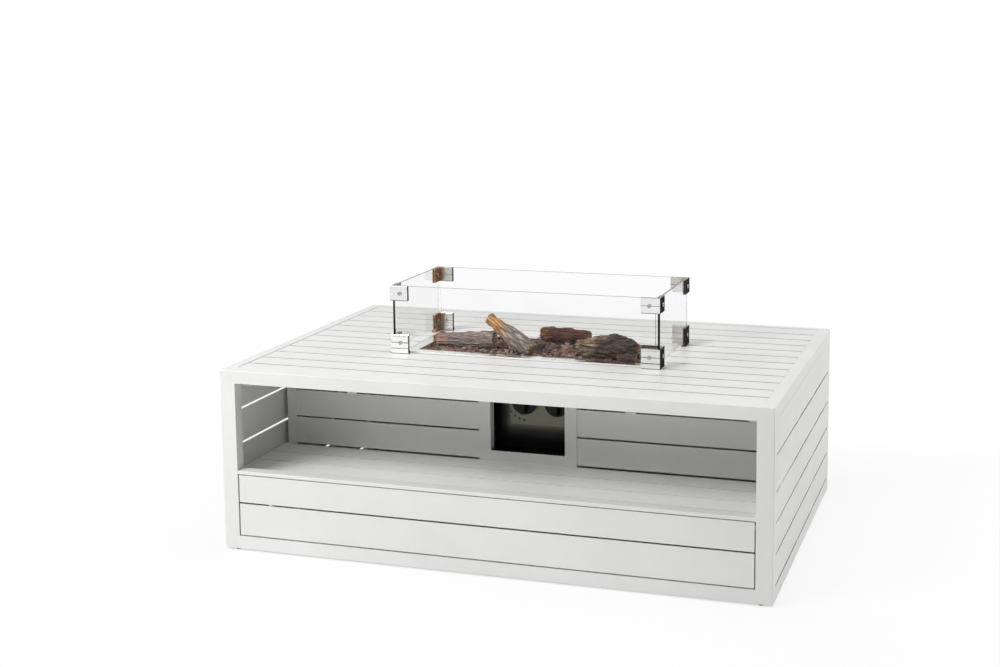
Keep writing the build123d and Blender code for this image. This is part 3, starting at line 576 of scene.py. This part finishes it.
def log_body(name, start, axis, turn, radii, arch, chance):
    """A log from a point along an axis, in metres, with a radius at each of a few stations on the way."""
    clear_selection()
    bpy.ops.mesh.primitive_circle_add(vertices=28, radius=radii[0], fill_type="NGON", location=start,
                                      rotation=turn.to_euler())
    log = started(name)
    bpy.ops.object.mode_set(mode="EDIT")
    bpy.ops.mesh.select_all(action="SELECT")
    last, last_radius, last_push = 0.0, radii[0], Vector()
    for share in ring_shares:
        reach = share * (len(radii) - 1)
        station = min(int(reach), len(radii) - 2)
        radius = radii[station] + (radii[station + 1] - radii[station]) * (reach - station)
        if 0.05 < share < 0.95:
            radius *= chance.uniform(*swell)
        push = turn @ Vector((chance.uniform(-1, 1), chance.uniform(-1, 1), 0)) * wander * radius
        push.z += arch * math.sin(math.pi * share)
        step = axis * (share - last) + push - last_push
        bpy.ops.mesh.extrude_region_move(TRANSFORM_OT_translate={"value": step})
        grow = radius / last_radius
        bpy.ops.transform.resize(value=(grow, grow, grow), center_override=start + axis * share + push)
        last, last_radius, last_push = share, radius, push
    face_outwards()
    return log


# %% A log's lumps, ridges and bark
def log_relief(log, start, turn, width, depths_mm):
    """Rounds a log of a given half width and raises its relief, as deep as given."""
    thin_log = 12 * MM
    round_off = log.modifiers.new("round_off", "SUBSURF")
    round_off.levels = round_off.render_levels = 3 if width > thin_log else 2
    bpy.ops.object.empty_add(location=start)
    stretch = bpy.context.object
    stretch.rotation_mode = "QUATERNION"
    stretch.rotation_quaternion = turn
    stretch.scale = (1, 1, 6)
    bpy.context.view_layer.update()
    layers = (("lumps", "CLOUDS", 1.2), ("ridges", "MUSGRAVE", 0.35), ("plates", "VORONOI", 0.4))
    for (label, kind, size), depth in zip(layers, depths_mm):
        texture = bpy.data.textures.new(log.name + "_" + label, kind)
        texture.noise_scale = size * width
        if kind == "MUSGRAVE":
            texture.musgrave_type = "RIDGED_MULTIFRACTAL"
        if kind == "VORONOI":
            texture.weight_1, texture.weight_2 = -1.0, 1.0
        relief = log.modifiers.new(label, "DISPLACE")
        relief.texture = texture
        relief.texture_coords = "GLOBAL" if label == "lumps" else "OBJECT"
        relief.texture_coords_object = stretch
        relief.strength = depth * MM
        relief.mid_level = 0.5
    apply_modifiers(log)
    bpy.data.objects.remove(stretch)
    bpy.ops.object.shade_smooth_by_angle(angle=math.radians(60))


# %% Where the six logs lie, between the ends of their CAD solids
# Each line, in mm: both ends, the radii along it, its arch, and the depths of its lumps, ridges and plates.
log_plans = {
    "log_left": ((-257, 8, 404.8), (-114, 8, 411.8), (14, 16, 18.5, 20.5), 0, (3, 1.8, 0.8)),
    "log_leaning": ((-131, 14.9, 460.5), (-12, -33.5, 400.5), (13, 14, 17, 20, 20, 16), -2, (4, 2.4, 2.0)),
    "log_back": ((-20.5, 62.5, 419.3), (96.5, 62.5, 419.3), (14, 18, 16.5, 18.5, 16.5, 14), 0, (7, 3, 2.5)),
    "log_right": ((90, -24, 411), (238, -24, 412), (14, 21, 24, 27, 24, 16), 6, (10, 5.5, 3.5)),
    "log_stub": ((196, -59.5, 401.3), (238, -59.5, 401.3), (9.5, 11.5, 10.5), 0, (3, 2.0, 1.5)),
    "log_twig": ((180, 8.3, 393.8), (238, 12.3, 393.8), (3.8, 3.6, 2.8), 0, (0.6, 0.5, 0.3)),
}
# Each line: furrow, ridge and wash colours, the share washed, a furrow's width in mm, its cracks' tone.
# The washes of the leaning and back logs are painted firelight; the left and leaning logs are painted
# lighter for it.
log_paints = {
    "log_left": ("#94827a", "#cdb9ae", "#cf9f88", 0.1, 2.6, 0.42),
    "log_leaning": ("#74665b", "#d2c6ba", "#e6a85e", 0.42, 4.0, 0.28),
    "log_back": ("#2e160c", "#8a4c2a", "#c07c42", 0.1, 4.5, 0.12),
    "log_right": ("#1e1510", "#735544", "#c2a584", 0.36, 4.4, 0.12),
    "log_stub": ("#20120e", "#5f3c32", "#6b3a2c", 0.2, 4.0, 0.12),
    "log_twig": ("#33271f", "#6f5540", "#8a5c3a", 0.1, 2.0, 0.12),
}
print("logs planned:", len(log_plans))

# %% The six logs
first_seed = 3
for seed, (name, (start, end, radii, arch, depths_mm)) in enumerate(log_plans.items(), first_seed):
    start = Vector(start) * MM
    axis = Vector(end) * MM - start
    turn = axis.to_track_quat("Z", "Y")
    radii = [radius * MM for radius in radii]
    log = log_body(name + "_bark", start, axis, turn, radii, arch * MM, random.Random(seed))
    log_relief(log, start, turn, max(radii), depths_mm)
    dress(log, bark_finish(name + "_painted_ceramic", start, axis, *log_paints[name]))
    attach(log, "table")
    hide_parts(name)
    print("log:", log.name, "faces:", len(log.data.polygons))

# %% [markdown]
# ## Lava chips
# The bed is a layer of loose lava chips. The CAD solid gives its level; the chips that show lie on it.
# Five chips are broken out of spheres by displacement and thinned to a few dozen faces. A particle system
# could strew them, but a loop with a seeded chance gives the same bed in every run: it walks over a loose
# grid, turns and sizes a copy at each place, and leaves out the places under a log.

# %% Five chips
chips = []
for number in range(5):
    clear_selection()
    bpy.ops.mesh.primitive_ico_sphere_add(subdivisions=3, radius=1.0)
    chip = started("lava_chip_%d" % number)
    texture = bpy.data.textures.new("lava_break_%d" % number, "VORONOI")
    texture.noise_scale = 0.8 + 0.12 * number
    texture.distance_metric = "DISTANCE"
    broken = chip.modifiers.new("broken", "DISPLACE")
    broken.texture = texture
    broken.strength = 1.1
    broken.mid_level = 0.45
    thin = chip.modifiers.new("thin", "DECIMATE")
    thin.ratio = 0.05
    apply_modifiers(chip)
    chips.append(chip)
print("chips:", [len(chip.data.polygons) for chip in chips])

# %% The level of the bed and the logs on it
bed_low, bed_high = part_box("lava_bed")
heap_rise = 11 * MM
heap_half_length = 125 * MM
heap_front = 29.5 * MM
bed_level = bed_high[2] - heap_rise
hidden_share = 0.6
log_clearance = 40 * MM


def bed_height(x, y):
    """The bed is flat, with a low heap along its back."""
    inside = min(heap_half_length - abs(x), y - heap_front)
    return bed_level + max(0.0, min(heap_rise, inside))


def under_a_log(x, y):
    """Whether a point of the bed lies under the middle of a log that starts close above the bed."""
    for plan in log_plans.values():
        start, end, radii = plan[:3]
        a, b = Vector(start[:2]) * MM, Vector(end[:2]) * MM
        share = max(0.0, min(1.0, (Vector((x, y)) - a).dot(b - a) / (b - a).length_squared))
        if (Vector((x, y)) - a - (b - a) * share).length < hidden_share * max(radii) * MM:
            return start[2] * MM < bed_level + log_clearance
    return False


print("bed level:", bed_level)

# %% Strew the chips over the bed
bed_length = bed_high[0] - bed_low[0]
bed_width = bed_high[1] - bed_low[1]
chip_limit = (bed_high[0] - 9.5 * MM, bed_high[1] - 8.5 * MM)
pitch = 15 * MM
stray = 0.35
chip_sizes = (5.0, 8.5)
flatness = (0.55, 0.9)
full_turn = 6.28
columns = int(bed_length / pitch)
rows = int(bed_width / pitch)
chance = random.Random(11)
strewn = []
for column in range(columns):
    for row in range(rows):
        x = bed_low[0] + (column + 0.5 + chance.uniform(-stray, stray)) * bed_length / columns
        y = bed_low[1] + (row + 0.5 + chance.uniform(-stray, stray)) * bed_width / rows
        size = chance.uniform(*chip_sizes) * MM
        turn = [chance.uniform(0, full_turn) for axis in range(3)]
        flat = chance.uniform(*flatness)
        model = chips[chance.randrange(len(chips))]
        if under_a_log(x, y) or abs(x) > chip_limit[0] or abs(y) > chip_limit[1]:
            continue
        copy = bpy.data.objects.new("chip", model.data.copy())
        scene.collection.objects.link(copy)
        copy.matrix_world = (
            Matrix.Translation((x, y, bed_height(x, y) + 0.1 * size)) @ Matrix.Diagonal((1, 1, flat, 1))
            @ Matrix.Rotation(turn[0], 4, "X") @ Matrix.Rotation(turn[1], 4, "Y")
            @ Matrix.Rotation(turn[2], 4, "Z") @ Matrix.Scale(size, 4))
        strewn.append(copy)
print("chips strewn:", len(strewn))

# %% Join the chips
lava_chips = joined(strewn, "lava_chips")
dress(lava_chips, lava_stone)
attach(lava_chips, "table")
for chip in chips:
    bpy.data.objects.remove(chip)
print("faces of the chips:", len(lava_chips.data.polygons))

# %% [markdown]
# ## Knobs
# A gas knob is one moulding: a round skirt with a soft shoulder and a grip bar across it, rounded at its
# ends so that fingers find it, with a white line at its top. The skirt could be spun from a profile, but
# a cylinder whose front is inset twice, into a shoulder and a shallow dish, takes fewer steps. The bar is
# a block whose four long corners are bevelled until its ends are round.

# %% Skirt
skirt_height = 8 * MM
shoulder_width, shoulder_rise = 2 * MM, 1 * MM
dish_rim, dish_depth = 5 * MM, 0.8 * MM
facing_front = (math.pi / 2, 0, 0)


def select_front(piece, front_y):
    """In edit mode, selects the faces of a piece that lie at its front."""
    bpy.ops.mesh.select_all(action="DESELECT")
    bpy.ops.object.mode_set(mode="OBJECT")
    for face in piece.data.polygons:
        face.select = face.normal.y < -0.9 and face.center.y < front_y
    bpy.ops.object.mode_set(mode="EDIT")


def knob_skirt(name, x, z, back, radius):
    """A round skirt about an axis at x and z, from its back forwards."""
    clear_selection()
    bpy.ops.mesh.primitive_cylinder_add(vertices=72, radius=radius, depth=skirt_height,
                                        location=(x, back - skirt_height / 2, z), rotation=facing_front)
    skirt = started(name)
    bpy.ops.object.mode_set(mode="EDIT")
    bpy.ops.mesh.select_mode(type="FACE")
    select_front(skirt, back - 0.9 * skirt_height)
    bpy.ops.mesh.inset(thickness=shoulder_width)
    bpy.ops.transform.translate(value=(0, -shoulder_rise, 0))
    bpy.ops.mesh.inset(thickness=dish_rim)
    bpy.ops.transform.translate(value=(0, dish_depth, 0))
    bpy.ops.object.mode_set(mode="OBJECT")
    return skirt


# %% Grip bar
bar_width = 15 * MM
bar_margin = 3 * MM
bar_round = 6.5 * MM
bar_taper = (0.8, 1, 0.94)


def knob_bar(name, x, z, front, back, radius):
    """A bar across a knob of a given radius, a little smaller at its front."""
    clear_selection()
    bpy.ops.mesh.primitive_cube_add(size=1, location=(x, (front + back) / 2, z),
                                    scale=(bar_width, back - front, 2 * (radius - bar_margin)))
    bar = started(name + "_bar")
    bpy.ops.object.mode_set(mode="EDIT")
    bpy.ops.mesh.select_mode(type="EDGE")
    bpy.ops.mesh.select_all(action="DESELECT")
    bpy.ops.object.mode_set(mode="OBJECT")
    for edge in bar.data.edges:
        a, b = (bar.data.vertices[v].co for v in edge.vertices)
        edge.select = abs(a.y - b.y) > 1 * MM
    bpy.ops.object.mode_set(mode="EDIT")
    bpy.ops.mesh.bevel(offset=bar_round, segments=8)
    bpy.ops.mesh.select_mode(type="FACE")
    select_front(bar, front + 1 * MM)
    bpy.ops.transform.resize(value=bar_taper, center_override=(x, front, z))
    bpy.ops.object.mode_set(mode="OBJECT")
    return bar


# %% White mark
mark_size_mm = (1.6, 1, 10)
print_lift = 0.02 * MM
print_depth = 0.1 * MM


def knob_mark(name, x, z, front):
    """A line a hair proud of the bar: a millimetre square, stretched to the line's size."""
    clear_selection()
    bpy.ops.mesh.primitive_plane_add(size=1 * MM, location=(x, front - print_lift, z),
                                     rotation=facing_front)
    mark = started(name + "_mark")
    bpy.ops.object.mode_set(mode="EDIT")
    bpy.ops.mesh.select_all(action="SELECT")
    bpy.ops.transform.resize(value=mark_size_mm)
    bpy.ops.mesh.extrude_region_move(TRANSFORM_OT_translate={"value": (0, print_depth, 0)})
    face_outwards()
    return mark


# %% The two knobs
def make_knob(name, node):
    """A knob in the place of its CAD solid, with its mark."""
    low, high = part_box(node)
    x, z = (low[0] + high[0]) / 2, (low[2] + high[2]) / 2
    front, back = low[1], high[1]
    radius = (high[0] - low[0]) / 2
    skirt = knob_skirt(name, x, z, back, radius)
    bar = knob_bar(name, x, z, front, back - 0.8 * skirt_height, radius)
    knob = joined([skirt, bar], name)
    soft = knob.modifiers.new("soft_edges", "BEVEL")
    soft.width = 0.9 * MM
    soft.segments = 3
    soft.limit_method = "ANGLE"
    soft.angle_limit = math.radians(38)
    apply_modifiers(knob)
    bpy.ops.object.shade_smooth_by_angle(angle=math.radians(40))
    dress(knob, phenolic)
    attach(knob, node)
    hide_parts(node)

    mark = knob_mark(name, x, z + 0.5 * radius, front)
    dress(mark, pointer_paint)
    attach(mark, node)
    print("knob:", name, "faces:", len(knob.data.polygons))


make_knob("flame_knob_moulding", "flame_knob")
make_knob("ignition_knob_moulding", "ignition_knob")

# %% [markdown]
# ## Printed dial
# Round the lower left of the gas knob a row of dots is printed on the plate. They grow along their arc,
# as the gas does. A material could paint them, but a thin disc stays sharp from close by, so each dot is
# a circle, extruded by a hair.

# %% Dots that grow along an arc
plate_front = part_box("control_plate")[0].y
knob_low, knob_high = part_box("flame_knob")
dial_x = (knob_low[0] + knob_high[0]) / 2
dial_z = (knob_low[2] + knob_high[2]) / 2
dial_radius = 44 * MM
dot_count = 4
first_angle, angle_step = 6.0, 15.4
largest_mm, shrink_mm = 2.9, 0.2
dots = []
for number in range(dot_count):
    angle = math.radians(first_angle + angle_step * number)
    x = dial_x - dial_radius * math.sin(angle)
    z = dial_z - dial_radius * math.cos(angle)
    clear_selection()
    bpy.ops.mesh.primitive_circle_add(vertices=24, radius=(largest_mm - shrink_mm * number) * MM,
                                      fill_type="NGON", location=(x, plate_front - print_lift, z),
                                      rotation=facing_front)
    dot = started("dial_dot_%d" % number)
    bpy.ops.object.mode_set(mode="EDIT")
    bpy.ops.mesh.select_all(action="SELECT")
    bpy.ops.mesh.extrude_region_move(TRANSFORM_OT_translate={"value": (0, print_depth, 0)})
    face_outwards()
    dots.append(dot)
dial_dots = joined(dots, "dial_dots")
dress(dial_dots, dial_ink)
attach(dial_dots, "table")
print("dial dots:", len(dots))

# %% [markdown]
# ## Floor, light and camera
# The table stands on a white sweep. The floor takes the table's shadow, and for the camera, reflections
# and glass it is lifted towards white: mostly beside the table, wholly half a metre away, and not at all
# under it, so that the gaps between the slats stay dark. Two lamps on the left, one of them higher and
# nearer the front, are the key; a wide one overhead lights the top, one on the right opens that end, and
# a weak one lights the back.

# %% What is seen as white
def seen_rays(tree):
    """1 for what the camera sees, also reflected or through glass, and 0 for light on other surfaces."""
    ray = put(tree, "ShaderNodeLightPath")
    seen = ray.outputs["Is Camera Ray"]
    for kind in ("Is Glossy Ray", "Is Transmission Ray"):
        seen = put(tree, "ShaderNodeMath", {"operation": "MAXIMUM"}, i0=seen, i1=ray.outputs[kind])
    return seen


# %% Floor
white_beside = 0.86
white_from = 0.5
under_edge = 0.03
floor_finish, tree, place = start_finish("white_studio_floor")
axes = put(tree, "ShaderNodeSeparateXYZ", Vector=place).outputs
outside = []
for axis, half in zip("XY", cad_box[1]):
    reach = put(tree, "ShaderNodeMath", {"operation": "ABSOLUTE"}, i0=axes[axis])
    outside.append(put(tree, "ShaderNodeMath", {"operation": "SUBTRACT"}, i0=reach, i1=half))
away = put(tree, "ShaderNodeMath", {"operation": "MAXIMUM"}, i0=outside[0], i1=outside[1])
near = put(tree, "ShaderNodeMapRange", Value=away, From_Min=-under_edge, From_Max=0.0, To_Max=white_beside)
lift = put(tree, "ShaderNodeMapRange", Value=away, From_Max=white_from, To_Min=near, To_Max=1.0)
lift = put(tree, "ShaderNodeMath", {"operation": "MULTIPLY"}, i0=seen_rays(tree), i1=lift)
matte = put(tree, "ShaderNodeBsdfDiffuse", Color=linear("#f4f4f4"))
glow = put(tree, "ShaderNodeEmission", Color=linear("#ffffff"), Strength=1.0)
blend = put(tree, "ShaderNodeMixShader", Fac=lift, i1=matte, i2=glow)
put(tree, "ShaderNodeOutputMaterial", Surface=blend)
clear_selection()
bpy.ops.mesh.primitive_plane_add(size=30)
floor = started("studio_floor")
dress(floor, floor_finish)
print("floor ready")

# %% World
world = bpy.data.worlds.new("pale_studio")
world.use_nodes = True
tree = world.node_tree
tree.nodes.clear()
light = put(tree, "ShaderNodeBackground", Color=linear("#f6f8fa"), Strength=0.02)
white = put(tree, "ShaderNodeBackground", Color=linear("#ffffff"), Strength=1.0)
blend = put(tree, "ShaderNodeMixShader", Fac=seen_rays(tree), i1=light, i2=white)
put(tree, "ShaderNodeOutputWorld", Surface=blend)
scene.world = world
print("world ready")


# %% Lamps
def add_lamp(name, place, aim, size, power):
    """A soft rectangular lamp at a place, turned to what it aims at; metres and watts."""
    lamp = bpy.data.lights.new(name, "AREA")
    lamp.shape = "RECTANGLE"
    lamp.size, lamp.size_y = size
    lamp.energy = power
    holder = bpy.data.objects.new(name, lamp)
    holder.location = place
    holder.rotation_euler = (Vector(aim) - Vector(place)).to_track_quat("-Z", "Y").to_euler()
    scene.collection.objects.link(holder)
    print("lamp:", name, "watts:", power)


add_lamp("key_left", (-2.0, -2.1, 2.0), (0, 0, 0.3), (1.5, 1.5), 34)
add_lamp("key_front", (-1.8, -2.8, 2.8), (0, -0.3, 0.2), (1.8, 1.4), 80)
add_lamp("overhead", (0.3, 0.1, 3.4), (0, 0, 0.4), (3.0, 2.4), 46)
add_lamp("right_end", (3.2, 0.4, 1.3), (0.5, 0, 0.2), (1.6, 1.4), 29)
add_lamp("back_fill", (2.2, 2.8, 0.9), (0, 0.4, 0.2), (1.6, 1.0), 14)

# %% Camera, fitted to the straight edges of the table in the photo
camera = bpy.data.cameras.new("photo_camera")
camera.sensor_width = 36
camera.lens = 54.97
camera.shift_x = -0.0512
camera.shift_y = -0.1072
camera.clip_end = 100
tripod = bpy.data.objects.new("photo_camera", camera)
camera_place = Vector((1.0635, -3.2474, 1.1315))
right = Vector((0.95268, 0.30388, -0.00729))
down = Vector((0.03291, -0.12697, -0.99136))
ahead = Vector((-0.30218, 0.94421, -0.13096))
camera_turn = Matrix((right, -down, -ahead)).transposed()
tripod.matrix_world = Matrix.Translation(camera_place) @ camera_turn.to_4x4()
scene.collection.objects.link(tripod)
scene.camera = tripod
scene.view_settings.view_transform = "Standard"
print("camera at", tuple(camera_place))
